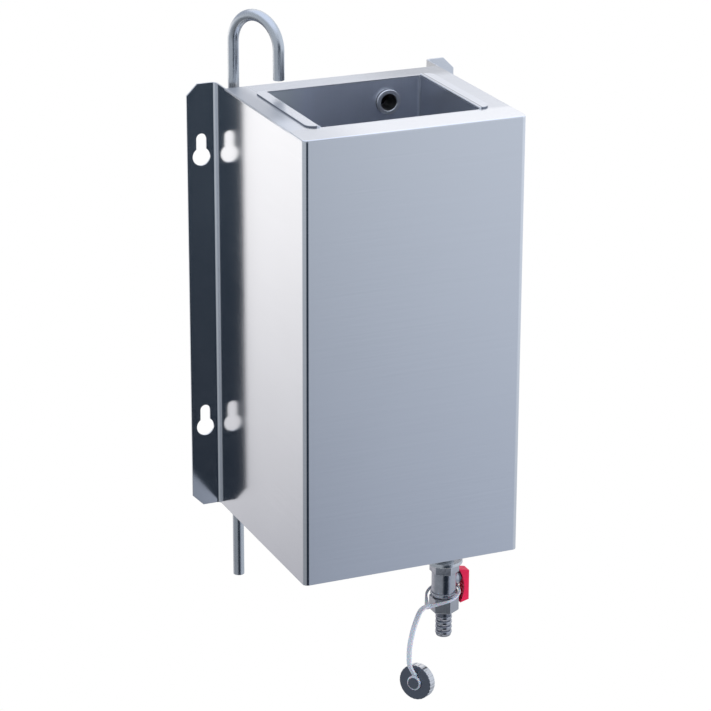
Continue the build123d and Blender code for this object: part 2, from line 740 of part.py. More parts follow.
lip_z = lip_plane.origin.Z
tail_top_z = gasket_plane.origin.Z
tail_end_z = lip_z - tail_length
with BuildPart() as hose_tail:
    with BuildSketch(Plane(origin=(drain_x, drain_y, 0), x_dir=(1, 0, 0), z_dir=(0, -1, 0))):
        with BuildLine():
            Polyline(
                (tail_root_diameter / 2, tail_end_z + tail_rib_count * tail_rib_pitch),
                (tail_root_diameter / 2, lip_z),
                (tail_collar_radius, lip_z),
                (tail_collar_radius, tail_top_z),
                (tail_bore / 2, tail_top_z),
                (tail_bore / 2, tail_end_z),
                (tail_root_diameter / 2, tail_end_z),
            )
            for rib in range(tail_rib_count):
                rib_z = tail_end_z + rib * tail_rib_pitch
                Polyline(
                    (tail_root_diameter / 2, rib_z),
                    (tail_diameter / 2, rib_z + tail_rib_pitch * (1 - tail_rib_land_share)),
                    (tail_diameter / 2, rib_z + tail_rib_pitch),
                    (tail_root_diameter / 2, rib_z + tail_rib_pitch),
                )
        make_face()
    revolve(axis=Axis((drain_x, drain_y, 0), (0, 0, 1)))
save(hose_tail, "hose_tail")

# Cap frame: its origin is the middle of the strap's eye, +Z points out of the cap's closed face
strap_out = Vector(cos(radians(strap_heading)), sin(radians(strap_heading)))
cap_out = Vector(cos(radians(cap_heading)), sin(radians(cap_heading)))
lean = radians(cap_lean)
cap_plane = Plane(
    origin=strap_plane.origin + strap_out * cap_reach - Vector(0, 0, cap_drop),
    x_dir=Vector(-cap_out.Y, cap_out.X),
    z_dir=cap_out * cos(lean) - Vector(0, 0, sin(lean)),
)

# Strap, one moulding: a loop, a flat band and an eye round the cap's knob. The loop hangs on the end
# piece's flange: its back edge leans on the barrel above the flange, and its tip hangs in front of the
# nut. The loop's frame starts at that back edge.
strap_side = Plane(origin=strap_plane.origin, x_dir=strap_out, z_dir=strap_out.cross(Vector(0, 0, 1)))
tilt = radians(strap_tilt)
loop_back = barrel_diameter / 2 + strap_ring_fit
loop_plane = Plane(
    origin=outlet_plane.origin - strap_out * loop_back + Vector(0, 0, strap_ring_rise),
    x_dir=strap_out * cos(tilt) - Vector(0, 0, sin(tilt)),
    z_dir=strap_out * sin(tilt) + Vector(0, 0, cos(tilt)),
)
hole_end = loop_plane.from_local_coords(Vector(strap_hole_reach + strap_hole_radius, 0))
loop_end = hole_end - strap_plane.origin
tab_top = cap_plane.from_local_coords(Vector(0, strap_tab_length, strap_thickness / 2)) - strap_plane.origin
band_start = (loop_end.dot(strap_out), loop_end.Z)
band_end = (tab_top.dot(strap_out), tab_top.Z)
band_bends = [(cap_reach * out, -cap_drop * down) for out, down in zip(band_reach_shares, band_drop_shares)]
band_points = [band_start, *band_bends, band_end]
with BuildPart() as cap_strap:
    with BuildSketch(loop_plane.offset(-strap_thickness / 2)):
        with BuildSketch(mode=Mode.PRIVATE) as loop_circles:
            with Locations((strap_ring_inside / 2, 0)):
                Circle(strap_ring_outside / 2)
            with Locations((strap_tip_reach, 0)):
                Circle(strap_tip_radius)
        with BuildSketch(mode=Mode.PRIVATE) as hole_circles:
            with Locations((strap_ring_inside / 2, 0)):
                Circle(strap_ring_inside / 2)
            with Locations((strap_hole_reach, 0)):
                Circle(strap_hole_radius)
        make_hull(loop_circles.edges())
        make_hull(hole_circles.edges(), mode=Mode.SUBTRACT)
    extrude(amount=strap_thickness)
    with BuildSketch(strap_side):
        with BuildLine():
            FilletPolyline(*band_points, radius=gentle_radii(band_points))
            offset(amount=strap_thickness / 2, side=Side.BOTH)
        make_face()
    extrude(amount=strap_width / 2, both=True)
    with BuildSketch(cap_plane.offset(-strap_thickness / 2)):
        Circle(strap_eye_diameter / 2)
        Rectangle(strap_width, strap_tab_length + strap_thickness / 2, align=(Align.CENTER, Align.MIN))
        Circle(knob_diameter / 2 + running_fit, mode=Mode.SUBTRACT)
    extrude(amount=strap_thickness)
save(cap_strap, "cap_strap")

# Cap with a fluted skirt and the knob that the strap's eye turns on
cap_face = cap_plane.offset(-strap_thickness / 2 - cap_gap)
knob_reach = strap_thickness + 2 * cap_gap
with BuildPart() as outlet_cap:
    with BuildSketch(cap_face):
        Circle(cap_diameter / 2)
    extrude(amount=-cap_height)
    fillet(outlet_cap.edges(), radius=cap_edge_radius)
    with BuildSketch(cap_face):
        with PolarLocations(cap_diameter / 2 + cap_flute_radius - cap_flute_depth, cap_flute_count):
            Circle(cap_flute_radius)
    extrude(amount=-cap_height, mode=Mode.SUBTRACT)
    with BuildSketch(cap_face.offset(-cap_height)):
        Circle(cap_thread_diameter / 2)
    extrude(amount=cap_height - cap_crown, mode=Mode.SUBTRACT)
    with BuildSketch(cap_face):
        Circle(knob_diameter / 2)
    extrude(amount=knob_reach)
    with BuildSketch(cap_face.offset(knob_reach)):
        Circle(knob_head_diameter / 2)
    extrude(amount=knob_head_height)
save(outlet_cap, "outlet_cap")

with BuildPart() as cap_gasket:
    with BuildSketch(cap_face.offset(-cap_crown)):
        Circle(cap_thread_diameter / 2 - running_fit)
    extrude(amount=-cap_gasket_height)
save(cap_gasket, "cap_gasket")
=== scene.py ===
# %% [markdown]
# # A wall-hung knife sterilizer
# The real object is a box of folded stainless steel with a hot-water tank in it. Almost every part that shows
# is bare metal, so this lesson is mostly about metal: how sheet, tube and plated castings differ, and what they
# need round them to look like metal at all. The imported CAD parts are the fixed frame. They keep their shape and
# place, and the cells below give them finishes, add what only shows in a render, and light them.

# %% Load the frame
import math

import bmesh
import bpy
from mathutils import Matrix, Vector


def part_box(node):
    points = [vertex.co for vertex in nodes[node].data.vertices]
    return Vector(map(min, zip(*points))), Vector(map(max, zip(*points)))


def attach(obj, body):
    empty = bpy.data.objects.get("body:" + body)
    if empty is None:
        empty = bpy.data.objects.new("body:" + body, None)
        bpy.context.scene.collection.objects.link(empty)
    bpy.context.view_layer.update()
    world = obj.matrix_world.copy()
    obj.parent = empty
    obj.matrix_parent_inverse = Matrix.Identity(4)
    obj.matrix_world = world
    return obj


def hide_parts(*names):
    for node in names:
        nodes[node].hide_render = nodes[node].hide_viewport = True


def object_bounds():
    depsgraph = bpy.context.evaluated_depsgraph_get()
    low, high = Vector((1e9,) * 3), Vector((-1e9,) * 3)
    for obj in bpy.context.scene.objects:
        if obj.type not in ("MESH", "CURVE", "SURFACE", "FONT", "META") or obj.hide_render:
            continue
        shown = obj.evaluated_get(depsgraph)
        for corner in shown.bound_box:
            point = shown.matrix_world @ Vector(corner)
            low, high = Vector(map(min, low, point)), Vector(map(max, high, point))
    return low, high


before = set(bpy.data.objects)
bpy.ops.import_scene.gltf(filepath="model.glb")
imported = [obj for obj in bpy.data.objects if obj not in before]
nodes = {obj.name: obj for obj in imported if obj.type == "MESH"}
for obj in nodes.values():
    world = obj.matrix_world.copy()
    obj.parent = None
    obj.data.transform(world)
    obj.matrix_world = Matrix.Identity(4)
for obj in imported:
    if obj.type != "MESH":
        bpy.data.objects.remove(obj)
cad_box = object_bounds()

# %% [markdown]
# ## Camera
# A product photograph like this one is taken from about two and a half metres with a long lens, which keeps the
# edges of a box nearly parallel. The camera stands to the left, in front and above. Its turn could be typed in as
# three mixed angles, but then no single one can be changed alone. So it is built from three plain ones: first the
# heading, then the tilt down, then the small roll about its own axis.

# %% Camera
camera_place = Vector((-0.9698, -2.3087, 0.8468))
camera_heading = math.radians(23.478)
camera_tilt = math.radians(20.194)
camera_roll = math.radians(0.219)
sensor_width = 36.0
focal_length = 150.13

camera_data = bpy.data.cameras.new("camera")
camera_data.sensor_width = sensor_width
camera_data.lens = focal_length
camera_data.clip_start = 0.1
camera_data.clip_end = 50.0
camera = bpy.data.objects.new("camera", camera_data)
camera.matrix_world = (
    Matrix.Translation(camera_place)
    @ Matrix.Rotation(-camera_heading, 4, "Z")
    @ Matrix.Rotation(math.pi / 2 - camera_tilt, 4, "X")
    @ Matrix.Rotation(camera_roll, 4, "Z")
)
bpy.context.scene.collection.objects.link(camera)
bpy.context.scene.camera = camera
print("camera", tuple(round(value, 3) for value in camera.location), "lens", focal_length)

# %% [markdown]
# ## Node sums as plain Python
# A node tree is hard to read as a list of links. The small class below wraps one output socket, so that
# `1 - mask * 0.5` in the code becomes the Math nodes for it. Every other node comes from `Tree.add`: its settings
# are set first, because they decide which sockets it has, and then its sockets get values or links. The same two
# classes write shaders, the world and, further down, Geometry Nodes.

# %% Socket wrapper
class Wire:
    """One output of a node. Sums on wires add Math nodes to the same tree."""

    def __init__(self, tree, socket):
        self.tree = tree
        self.socket = socket

    def math(self, operation, *values):
        return self.tree.add("ShaderNodeMath", {"operation": operation}, dict(enumerate(values)))

    def __add__(self, other):
        return self.math("ADD", self, other)

    def __radd__(self, other):
        return self.math("ADD", other, self)

    def __sub__(self, other):
        return self.math("SUBTRACT", self, other)

    def __rsub__(self, other):
        return self.math("SUBTRACT", other, self)

    def __mul__(self, other):
        return self.math("MULTIPLY", self, other)

    def __rmul__(self, other):
        return self.math("MULTIPLY", other, self)

    def __truediv__(self, other):
        return self.math("DIVIDE", self, other)

    def __rtruediv__(self, other):
        return self.math("DIVIDE", other, self)

    def __abs__(self):
        return self.math("ABSOLUTE", self)


# %% Tree writer
class Tree:
    """A node tree that is being written."""

    def __init__(self, node_tree):
        self.node_tree = node_tree
        node_tree.nodes.clear()

    def add(self, kind, settings=None, inputs=None, output=0):
        """A node of a kind. Its settings come first, then values or wires for its sockets."""
        node = self.node_tree.nodes.new(kind)
        for name, value in (settings or {}).items():
            setattr(node, name, value)
        for key, value in (inputs or {}).items():
            if isinstance(value, Wire):
                self.node_tree.links.new(value.socket, node.inputs[key])
            else:
                node.inputs[key].default_value = value
        return Wire(self, node.outputs[output]) if node.outputs else node

    def outputs(self, wire, *keys):
        """Other outputs of the node that a wire comes from."""
        return [Wire(self, wire.socket.node.outputs[key]) for key in keys]

    def mix(self, share, first, second):
        """Colour between first and second."""
        pair = [value if isinstance(value, Wire) else (*value, 1.0) for value in (first, second)]
        return self.add("ShaderNodeMix", {"data_type": "RGBA"}, {0: share, 6: pair[0], 7: pair[1]}, output=2)

    def smooth(self, value, start, end):
        """Smooth step from 0 at start to 1 at end. The end may lie below the start."""
        inputs = {"Value": value, "From Min": start, "From Max": end}
        return self.add("ShaderNodeMapRange", {"interpolation_type": "SMOOTHSTEP"}, inputs)

    def parts(self, vector):
        """The X, Y and Z of a vector."""
        return self.outputs(self.add("ShaderNodeSeparateXYZ", {}, {0: vector}), 0, 1, 2)

    def noise(self, place, scale, detail=2.0, seed=0.0):
        """Noise from 0 to 1. A scale of three numbers stretches it."""
        if not isinstance(scale, (int, float)):
            place = self.add("ShaderNodeMapping", {}, {"Vector": place, "Scale": scale, "Location": [seed] * 3})
            scale = 1.0
        return self.add("ShaderNodeTexNoise", {}, {"Vector": place, "Scale": scale, "Detail": detail})

    def rays(self):
        """1 for a ray from the camera, from a mirroring surface, and from a see-through one."""
        path = self.add("ShaderNodeLightPath")
        return self.outputs(path, "Is Camera Ray", "Is Glossy Ray", "Is Transmission Ray")


def tinted(colour, factor):
    """The colour made lighter or darker."""
    return [value * factor for value in colour]


print("node helpers ready")

# %% [markdown]
# ## The studio
# Bare metal has no colour of its own to show: it shows the room. A room could be built from large planes, but
# then each plane also has to be kept out of the picture. So the room here is a world whose colour depends on
# direction alone. Behind the object hangs a white backdrop, which the camera sees plain white, and which the
# metal mirrors too, by Light Path. It dims overhead and towards the ground. Round the camera the room is unlit,
# and that is what turns the wall flange and one line on each tube nearly black. To the right of it a cool grey
# card reaches the front of the cabinet, and a dimmer one to the left gives each fold its pale line.

# %% Colours of the room
plain_white = (1.0, 1.0, 1.0)
backdrop_white = (1.33, 1.30, 1.29)
backdrop_soft = (0.90, 0.90, 0.92)
backdrop_upper = (0.48, 0.52, 0.61)
backdrop_upper_right = (1.10, 1.10, 1.13)
ground = (0.17, 0.18, 0.24)
left_card = (0.52, 0.56, 0.62)
front_card = (0.65, 0.70, 0.79)
front_card_low = (0.42, 0.47, 0.58)
right_card = (0.78, 0.84, 0.94)
right_card_low = (0.50, 0.54, 0.60)
dark_room = (0.033, 0.049, 0.070)
dark_room_low = (0.014, 0.021, 0.034)
overhead = (0.98, 1.07, 1.28)
left_card_dimming = 0.45
right_rise = 2.0

# Each border says where, on one part of the direction, an area starts to show and where it is complete.
borders = {
    "cards_low": (-0.22, -0.48),
    "left_card": (-0.38, -0.62),
    "front_card": (0.14, 0.45),
    "right_card": (0.46, 0.62),
    "unlit_low": (-0.24, -0.40),
    "unlit_high": (-0.05, 0.35),
    "ground": (-0.20, -0.54),
    "upper": (-0.12, 0.14),
    "upper_right": (0.88, 0.935),
    "behind": (0.30, 0.78),
    "overhead": (0.50, 0.85),
}
print("borders", len(borders))

# %% World
def make_world():
    world = bpy.data.worlds.new("studio")
    bpy.context.scene.world = world
    world.use_nodes = True
    tree = Tree(world.node_tree)
    x, y, z = tree.parts(tree.add("ShaderNodeTexCoord"))
    camera_ray, glossy_ray, through_ray = tree.rays()

    def area(border, value):
        return tree.smooth(value, *borders[border])

    low = area("cards_low", z)
    card = tree.mix(low, front_card, front_card_low)
    card = tree.mix(area("right_card", x), card, tree.mix(low, right_card, right_card_low))
    left = tree.mix(low, left_card, tinted(left_card, left_card_dimming))
    unlit = tree.mix(area("unlit_low", z), dark_room, dark_room_low)
    unlit = tree.mix(area("unlit_high", z), unlit, front_card)
    front = tree.mix(area("front_card", x), unlit, card)
    front = tree.mix(area("left_card", x), front, left)
    backdrop = tree.mix(glossy_ray + through_ray, backdrop_soft, backdrop_white)
    sweep = tree.mix(area("ground", z), backdrop, ground)
    high = tree.mix(area("upper_right", x + z * right_rise), backdrop_upper, backdrop_upper_right)
    sweep = tree.mix(area("upper", z), sweep, high)
    room = tree.mix(area("behind", y), front, sweep)
    room = tree.mix(area("overhead", z), room, overhead)
    seen = tree.mix(camera_ray, room, plain_white)
    background = tree.add("ShaderNodeBackground", {}, {"Color": seen, "Strength": 1.0})
    tree.add("ShaderNodeOutputWorld", {}, {"Surface": background})
    return world


print("world", make_world().name)

# %% [markdown]
# ## Floor
# The object hangs on a wall, so the floor is far below it and only shows in views from above or in the metal. It
# could be a plain white surface, but the lamps never light such a one evenly. So it is matt for the light that
# falls on it, which keeps the object's shadow, and glows plain white for the camera and a softer white in metal.

# %% Floor
floor_drop = 1.2
floor_side = 2.0
floor_grey = (0.82, 0.82, 0.83, 1.0)
floor_mirrored = (0.60, 0.61, 0.64)
middle = Vector((0, -0.1, 0))


def make_floor():
    floor_z = cad_box[0].z - floor_drop
    bpy.ops.mesh.primitive_plane_add(size=floor_side, location=(middle.x, middle.y, floor_z))
    floor = bpy.context.object
    floor.name = "floor"
    material = bpy.data.materials.new("pale_floor")
    material.use_nodes = True
    tree = Tree(material.node_tree)
    camera_ray, glossy_ray, through_ray = tree.rays()
    pale = tree.mix(camera_ray, floor_mirrored, plain_white)
    matt = tree.add("ShaderNodeBsdfDiffuse", {}, {"Color": floor_grey})
    bright = tree.add("ShaderNodeEmission", {}, {"Color": pale})
    shows = camera_ray + glossy_ray + through_ray
    surface = tree.add("ShaderNodeMixShader", {}, {0: shows, 1: matt, 2: bright})
    tree.add("ShaderNodeOutputMaterial", {}, {"Surface": surface})
    floor.data.materials.append(material)
    return floor


print("floor at", round(make_floor().location.z, 3))

# %% [markdown]
# ## Lamps
# The world already lights the metal. The plastic lever and strap need lamps for their soft light and shadow. Three
# large weak area lamps give it. Metal would mirror them as hard squares, which the real studio hides behind its
# cards, so they are invisible to mirroring rays.

# %% Lamps
lamps = {
    "lamp_above": {"place": (-0.4, -0.7, 1.6), "size": 1.4, "watts": 28.0},
    "lamp_left": {"place": (-1.9, 0.5, 0.7), "size": 1.0, "watts": 20.0},
    "lamp_right": {"place": (1.7, -1.4, 0.9), "size": 1.0, "watts": 38.0},
}
for lamp_name, lamp in lamps.items():
    light = bpy.data.lights.new(lamp_name, "AREA")
    light.size = lamp["size"]
    light.energy = lamp["watts"]
    lamp_object = bpy.data.objects.new(lamp_name, light)
    lamp_object.location = lamp["place"]
    aim = middle - lamp_object.location
    lamp_object.rotation_euler = aim.to_track_quat("-Z", "Y").to_euler()
    lamp_object.visible_glossy = False
    bpy.context.scene.collection.objects.link(lamp_object)
print("lamps", len(lamps))

# %% [markdown]
# ## Brushed sheet
# Catering sheet is brushed with a belt, which leaves hair-fine scratches that all run one way. On this cabinet
# they run level round the box, so a reflection keeps its left and right edges and smears up and down. The
# scratches are too fine to model, and an image of them would repeat. A noise that is stretched along the brushing
# stands for them, as a bump and as a small change of roughness and tone. Handling leaves larger soft blotches,
# which a round noise gives. Each noise is added about its middle value, 0.5, so that the average finish stays.

# %% Brushed steel
metal_level = 1.0
sheet_colour = (0.79, 0.805, 0.83)
scratch_depth = 0.00002


def finish_material(name, tree_maker):
    """A material whose tree is written by tree_maker, which returns the Principled inputs."""
    material = bpy.data.materials.new(name)
    material.use_nodes = True
    tree = Tree(material.node_tree)
    place = tree.add("ShaderNodeTexCoord", output="Object")
    shader = tree.add("ShaderNodeBsdfPrincipled", {}, tree_maker(tree, place))
    tree.add("ShaderNodeOutputMaterial", {}, {"Surface": shader})
    return material


def brushed(name, grain, colour=sheet_colour, roughness=0.14, relief=0.5, seed=0.0, marks=None):
    """Belt-brushed steel. grain is the noise scale along X, Y and Z: low along the scratches."""

    def write(tree, place):
        hairs = tree.noise(place, grain, 3.0, seed)
        streaks = tree.noise(place, tinted(grain, 0.2), 2.0, seed + 3)
        clouds = tree.noise(place, 14.0, 3.0)
        tone = (hairs - 0.5) * 0.4 + (streaks - 0.5) * 0.18 + (clouds - 0.5) * 0.35 + 0.5
        base = tree.mix(tone, tinted(colour, 0.90), tinted(colour, 1.08))
        rough = roughness + (hairs - 0.5) * 0.05 + (clouds - 0.5) * 0.06 + (streaks - 0.5) * 0.03
        if marks:
            base, rough = marks(tree, place, base, rough)
        bump = tree.add("ShaderNodeBump", {}, {"Strength": relief, "Distance": scratch_depth, "Height": hairs})
        return {"Base Color": base, "Metallic": metal_level, "Roughness": rough, "Normal": bump}

    return finish_material(name, write)


print("brushed steel ready")

# %% [markdown]
# ## Where the sheet differs from its brushing, and where light is painted on it
# One finish over a whole folded box looks like plastic. On the real one the tank's lips are polished, and the faces
# towards the wall were never brushed. Light and shade are also painted into the colour: a painted highlight along
# the front edge of the rim, painted shade on its left edge and rear right corner, a painted shadow on the lips' cut
# edges and beside the right lip, painted light on the left of the tank and painted shade on its right wall. All of
# these follow the shape, so a mask on the place in the object says where each of them is, with no need for more
# materials. Each function gets the brushed colour and roughness, and gives them back with its marks.

# %% Marks on the sheet
tank_colour = (0.80, 0.835, 0.92)
# Colour of the painted highlight along the rim's front edge.
painted_rim_highlight = (0.97, 0.975, 0.985)
# Colour of the painted shadow on the lips' cut edges and beside the right lip.
painted_edge_shadow = (0.10, 0.115, 0.15)
# Heights of the rim and of the lips on it. Then how far from the middle a lip starts, the tank's wall stands and
# the inner face of a wing stands, and how deep a wing is.
rim_level = 0.190
lip_level = 0.1915
lip_start = 0.0745
tank_wall = 0.072
wing_face = 0.0985
wing_gap = 0.025


def lip_and_tank(tree, place, base, rough):
    """Polished lips, painted shadow on their edges and beside the right lip, painted light and shade in the tank.
    """
    x, y, z = tree.parts(place)
    on_lip = tree.smooth(z, rim_level - 0.0015, rim_level - 0.0001)
    beside_opening = tree.smooth(abs(x), lip_start - 0.0005, lip_start)
    # Painted shadow: the lips' cut edges and a line beside the right lip are darkened in the colour.
    cut_edge_shadow = (1 - tree.smooth(z, lip_level - 0.0005, lip_level - 0.0001)) * beside_opening
    right_lip_shadow = tree.smooth(x, lip_start - 0.0012, lip_start - 0.0009)
    right_lip_shadow = right_lip_shadow * (1 - tree.smooth(x, lip_start - 0.0004, lip_start))
    # Painted light on the left of the tank and painted shade on its right wall.
    right_wall_shade = tree.smooth(x, tank_wall - 0.0020, tank_wall - 0.0003)
    left_side_light = 1 - tree.smooth(x, -0.066, -0.010)
    base = tree.mix(left_side_light, base, tinted(tank_colour, 1.22))
    base = tree.mix(right_wall_shade, base, tinted(tank_colour, 0.70))
    base = tree.mix(on_lip, base, tinted(sheet_colour, 1.06))
    base = tree.mix((cut_edge_shadow + right_lip_shadow) * on_lip * 0.85, base, painted_edge_shadow)
    return base, rough - on_lip * 0.12


def wall_side(tree, place, base, rough):
    """The faces towards the wall and inside the wings were never brushed, so they are duller."""
    x, y, z = tree.parts(place)
    inside = 1 - tree.smooth(abs(abs(x) - wing_face), 0.0005, 0.0009)
    darkened = inside * tree.smooth(y, -wing_gap, 0.0006 - wing_gap) + tree.smooth(y, -0.0009, -0.0005)
    return tree.mix(darkened, base, tinted(sheet_colour, 0.70)), rough + darkened * 0.3


def rim_painted_light(tree, place, base, rough):
    """Painted highlight along the rim's front edge, painted shade on its left edge and rear right corner."""
    x, y, z = tree.parts(place)
    front = 1 - tree.smooth(y, -0.172, -0.164)
    left = 1 - tree.smooth(x, -0.090, -0.076)
    rear_right = tree.smooth(y, -0.060, -0.040) * tree.smooth(x, 0.0, 0.07)
    # Painted shade on the rim's left edge and rear right corner, and a painted highlight along its front edge.
    base = tree.mix(left * tree.smooth(y, -0.150, -0.120), base, tinted(sheet_colour, 0.74))
    base = tree.mix(rear_right, base, tinted(sheet_colour, 0.70))
    base = tree.mix(front * tree.smooth(x, -0.09, -0.03), base, painted_rim_highlight)
    return base, rough + left * (1 - front) * 0.2


print("marks ready")

# %% Sheet finishes
level_grain = (12.0, 12.0, 2600.0)
cross_grain = (12.0, 2600.0, 2600.0)
upright_grain = (1800.0, 1800.0, 12.0)
finishes = {}


def give(material, *names):
    for name in names:
        finishes[name] = material


give(brushed("brushed_cabinet", level_grain, marks=wall_side), "outer_shell")
give(brushed("brushed_rim", cross_grain, roughness=0.22, seed=5.0, marks=rim_painted_light), "top_rim")
give(brushed("satin_tank", upright_grain, tank_colour, 0.38, 0.2, 9.0, lip_and_tank), "inner_tank")
give(brushed("brushed_bottom", cross_grain, tinted(sheet_colour, 0.9), 0.3, seed=13.0), "bottom_panel")
rear_steel = brushed("brushed_rear", level_grain, tinted(sheet_colour, 0.72), 0.4, seed=11.0)
give(rear_steel, "rear_panel", "inlet_clip_upper", "inlet_clip_lower", "overflow_clip")
print("sheet finishes", len(finishes))

# %% [markdown]
# ## Tube and plated metal
# The pipes are drawn tube with a smoother skin than the sheet and long faint marks from the die. The valve is cast
# brass under nickel plating, which keeps the soft pits and waves of the casting. Both could be one grey metal, and
# would then look alike in a render as they never do in the hand. So tube gets a noise that is stretched along its
# length, and plating gets round ones of three sizes. Turned parts take the tube's finish in a brighter tone.

# %% Drawn and plated metal
# Colour of the painted shade and painted dark reflection on the plating.
painted_nickel_shade = (0.15, 0.165, 0.20)


def drawn(name, colour, roughness, seed=0.0):
    """Tube or rod with faint marks along Z."""

    def write(tree, place):
        marks = tree.noise(place, (1500.0, 1500.0, 10.0), 2.0, seed)
        clouds = tree.noise(place, 60.0, 3.0)
        tone = (marks - 0.5) * 0.5 + (clouds - 0.5) * 0.5 + 0.5
        base = tree.mix(tone, tinted(colour, 0.86), tinted(colour, 1.08))
        rough = roughness + (marks - 0.5) * 0.08 + (clouds - 0.5) * 0.10
        bump = tree.add("ShaderNodeBump", {}, {"Strength": 0.15, "Distance": 0.00003, "Height": marks})
        return {"Base Color": base, "Metallic": metal_level, "Roughness": rough, "Normal": bump}

    return finish_material(name, write)


def plated(name, colour, roughness, pit=0.4, painted_shade=None):
    """Nickel over cast or machined brass. The last argument gives, from a place, the share that gets painted shade.
    """

    def write(tree, place):
        pits = tree.noise(place, 1400.0, 3.0)
        waves = tree.noise(place, 260.0, 2.0)
        clouds = tree.noise(place, 90.0, 3.0)
        base = tree.mix(clouds * 0.7 + pits * 0.3, tinted(colour, 0.82), tinted(colour, 1.10))
        rough = roughness + (pits - 0.5) * 0.12 + (clouds - 0.5) * 0.14
        if painted_shade:
            # Painted shade: where the mask says, the colour is darkened.
            darkened = painted_shade(tree, place)
            base = tree.mix(darkened, base, painted_nickel_shade)
            rough = rough + darkened * 0.15
        height = pits * 0.5 + waves
        bump = tree.add("ShaderNodeBump", {}, {"Strength": pit, "Distance": 0.0001, "Height": height})
        return {"Base Color": base, "Metallic": metal_level, "Roughness": rough, "Normal": bump}

    return finish_material(name, write)


print("tube and plating ready")

# %% [markdown]
# ## Where shade is painted on the plating
# The plating is darkened in its colour, and made rougher, in three places: a painted dark reflection on the flat
# face of the cap, a painted shadow behind the lever, and painted shade in the grooves of the hose tail. Three masks
# find those places. The cap hangs askew, so its mask measures along the cap's own axis. The grooves are found by
# their distance from the axis of the drain. Its square is compared with the squares of the two radii, which needs
# no root.

# %% Masks on the plating
# The drain's axis as x and y, the x just short of the boss's end, and the radii of the hose tail's grooves and
# crests. Then the way that the cap's face points, and where its axis starts.
drain_axis = Vector((0.054, -0.15))
stem_side = 0.0656
rib_root = 0.0064
rib_crest = 0.0072
cap_out = Vector((-0.827018, -0.557831, 0.069756))
cap_place = Vector((0.0182008, -0.1666934, -0.3285))
cap_face_level = cap_out.dot(cap_place) - 0.0016


def cap_face(tree, place):
    """1 on the cap's flat face and its knob, where a dark reflection is painted, 0 on the skirt."""
    x, y, z = tree.parts(place)
    level = x * cap_out.x + y * cap_out.y + z * cap_out.z
    return tree.smooth(level, cap_face_level - 0.0004, cap_face_level + 0.0002)


def behind_lever(tree, place):
    """1 on the boss and gland, where the shadow behind the lever is painted."""
    x, y, z = tree.parts(place)
    return tree.smooth(x, stem_side - 0.0006, stem_side + 0.0002)


def between_ribs(tree, place):
    """0.8 in the grooves of the hose tail, where shade is painted, and 0 on the crests."""
    x, y, z = tree.parts(place)
    off_x, off_y = x - drain_axis.x, y - drain_axis.y
    reach = off_x * off_x + off_y * off_y
    return (1 - tree.smooth(reach, rib_root**2, rib_crest**2)) * 0.8


print("cap face at", round(cap_face_level, 4))

# %% Metal finishes
tube_steel = drawn("drawn_tube", (0.63, 0.66, 0.69), 0.27)
turned_steel = drawn("turned_steel", (0.80, 0.82, 0.84), 0.26, 4.0)
bush_steel = drawn("turned_bush", (0.97, 0.975, 0.98), 0.34, 6.0)
cast_nickel = plated("plated_casting", (0.58, 0.59, 0.63), 0.22, 0.85, behind_lever)
machined_nickel = plated("plated_machined", (0.53, 0.54, 0.57), 0.18, 0.35)
tail_nickel = plated("plated_tail", (0.56, 0.57, 0.61), 0.18, 0.35, between_ribs)
cap_nickel = plated("plated_cap", (0.70, 0.70, 0.71), 0.20, 0.12, cap_face)
ball_chrome = plated("polished_ball", (0.80, 0.80, 0.81), 0.06, 0.02)
zinc = plated("zinc_screw", (0.74, 0.76, 0.80), 0.28, 0.25)
give(tube_steel, "inlet_pipe", "overflow_pipe", "drain_pipe")
give(turned_steel, "drain_collar", "overflow_locknut", "valve_stem")
give(bush_steel, "overflow_bush")
give(cast_nickel, "valve_body", "valve_end_piece", "gland_nut")
give(machined_nickel, "union_nut")
give(tail_nickel, "hose_tail")
give(cap_nickel, "outlet_cap")
give(ball_chrome, "valve_ball")
give(zinc, "handle_screw", "clip_nuts")
print("metal finishes", len(finishes))

# %% [markdown]
# ## Plastic, rubber and foam
# The lever is moulded in red polyamide, which is satin rather than glossy, with a fine pebble. The strap is a
# pale, slightly see-through plastic. Real glass-like depth in it would cost much render time for a band this thin,
# so a little scattering under the skin softens its shading. Rubber, white seat rings and foam hide inside, and are
# finished for the moment when the object is taken apart.

# %% Plastic, rubber and foam
def moulded(name, colour, roughness, pebble, coat=0.0, scatter=0.0):
    """Plastic or rubber with a fine pebble, whose noise scale is pebble."""

    def write(tree, place):
        grain = tree.noise(place, pebble, 3.0)
        clouds = tree.noise(place, 120.0, 3.0)
        base = tree.mix(clouds * 0.7 + grain * 0.3, tinted(colour, 0.84), tinted(colour, 1.12))
        rough = roughness + (grain - 0.5) * 0.14 + (clouds - 0.5) * 0.10
        bump = tree.add("ShaderNodeBump", {}, {"Strength": 0.25, "Distance": 0.00006, "Height": grain})
        inputs = {"Base Color": base, "Roughness": rough, "Normal": bump, "Coat Weight": coat}
        if scatter:
            inputs["Subsurface Weight"] = scatter
            inputs["Subsurface Scale"] = 0.002
        return inputs

    return finish_material(name, write)


